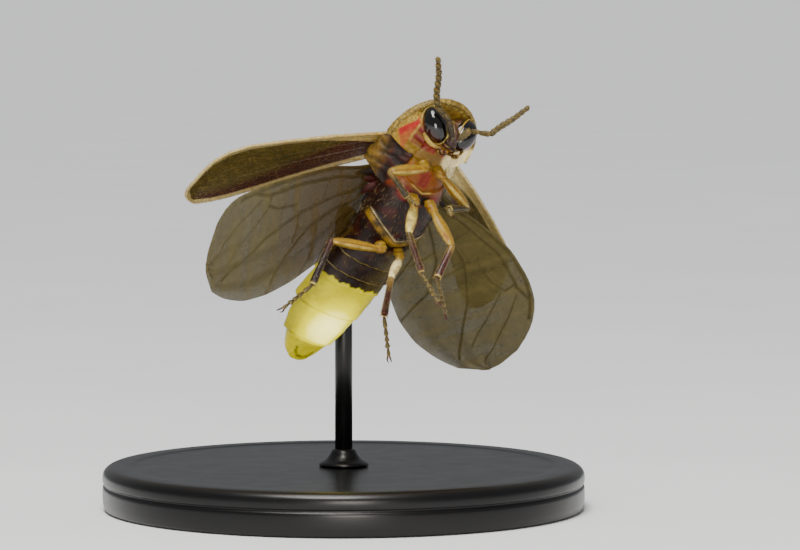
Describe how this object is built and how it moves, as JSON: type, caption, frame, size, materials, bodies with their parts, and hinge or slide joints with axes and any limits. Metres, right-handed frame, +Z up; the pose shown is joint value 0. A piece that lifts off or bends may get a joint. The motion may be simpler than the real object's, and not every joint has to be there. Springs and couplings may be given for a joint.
{
  "type": "firefly model on stand",
  "caption": "Life-size firefly beetle in flight, wing cases and wings spread, lantern glowing, held by a rod on a round base.",
  "frame": {"origin": "centre of the round base's underside", "axes": "+Z up, -Y towards the viewer of the picture, +X to the viewer's right"},
  "size_m": [0.022, 0.022, 0.0207],
  "materials": {
    "horn": "brown horny head and mouthparts, fine punctures",
    "eye": "glossy black compound eye with a fine facet grid",
    "antenna": "dark olive-brown segments with pale joints and short down",
    "pronotum": "granular golden shield with pink-red patches and a pale rim",
    "amber": "amber and crimson underside of the first thorax ring",
    "thorax": "dark brown plates with pale seams and fine gold down",
    "abdomen": "dark brown belly rings with thin pale rear rims",
    "lantern": "glowing yellow light organ, whiter in the middle",
    "leg": "pale amber thighs, dark brown shins and downy feet",
    "elytron": "thin olive-brown wing case with pale yellow borders",
    "wing": "smoky translucent membrane with brown veins",
    "stand": "satin black coated brass"
  },
  "bodies": {
    "root": {"head": "horn", "eye_right": "eye", "eye_left": "eye", "antenna_right": "antenna", "antenna_left": "antenna", "pronotum": "pronotum", "prosternum": "amber", "thorax": "thorax", "abdomen": "abdomen", "lantern": "lantern", "abdomen_tip": "lantern", "leg_fore_right": "leg", "leg_fore_left": "leg", "leg_mid_right": "leg", "leg_mid_left": "leg", "leg_hind_right": "leg", "leg_hind_left": "leg", "elytron_right": "elytron", "elytron_left": "elytron", "wing_right": "wing", "wing_left": "wing", "stand_base": "stand", "stand_rod": "stand"}
  },
  "joints": []
}
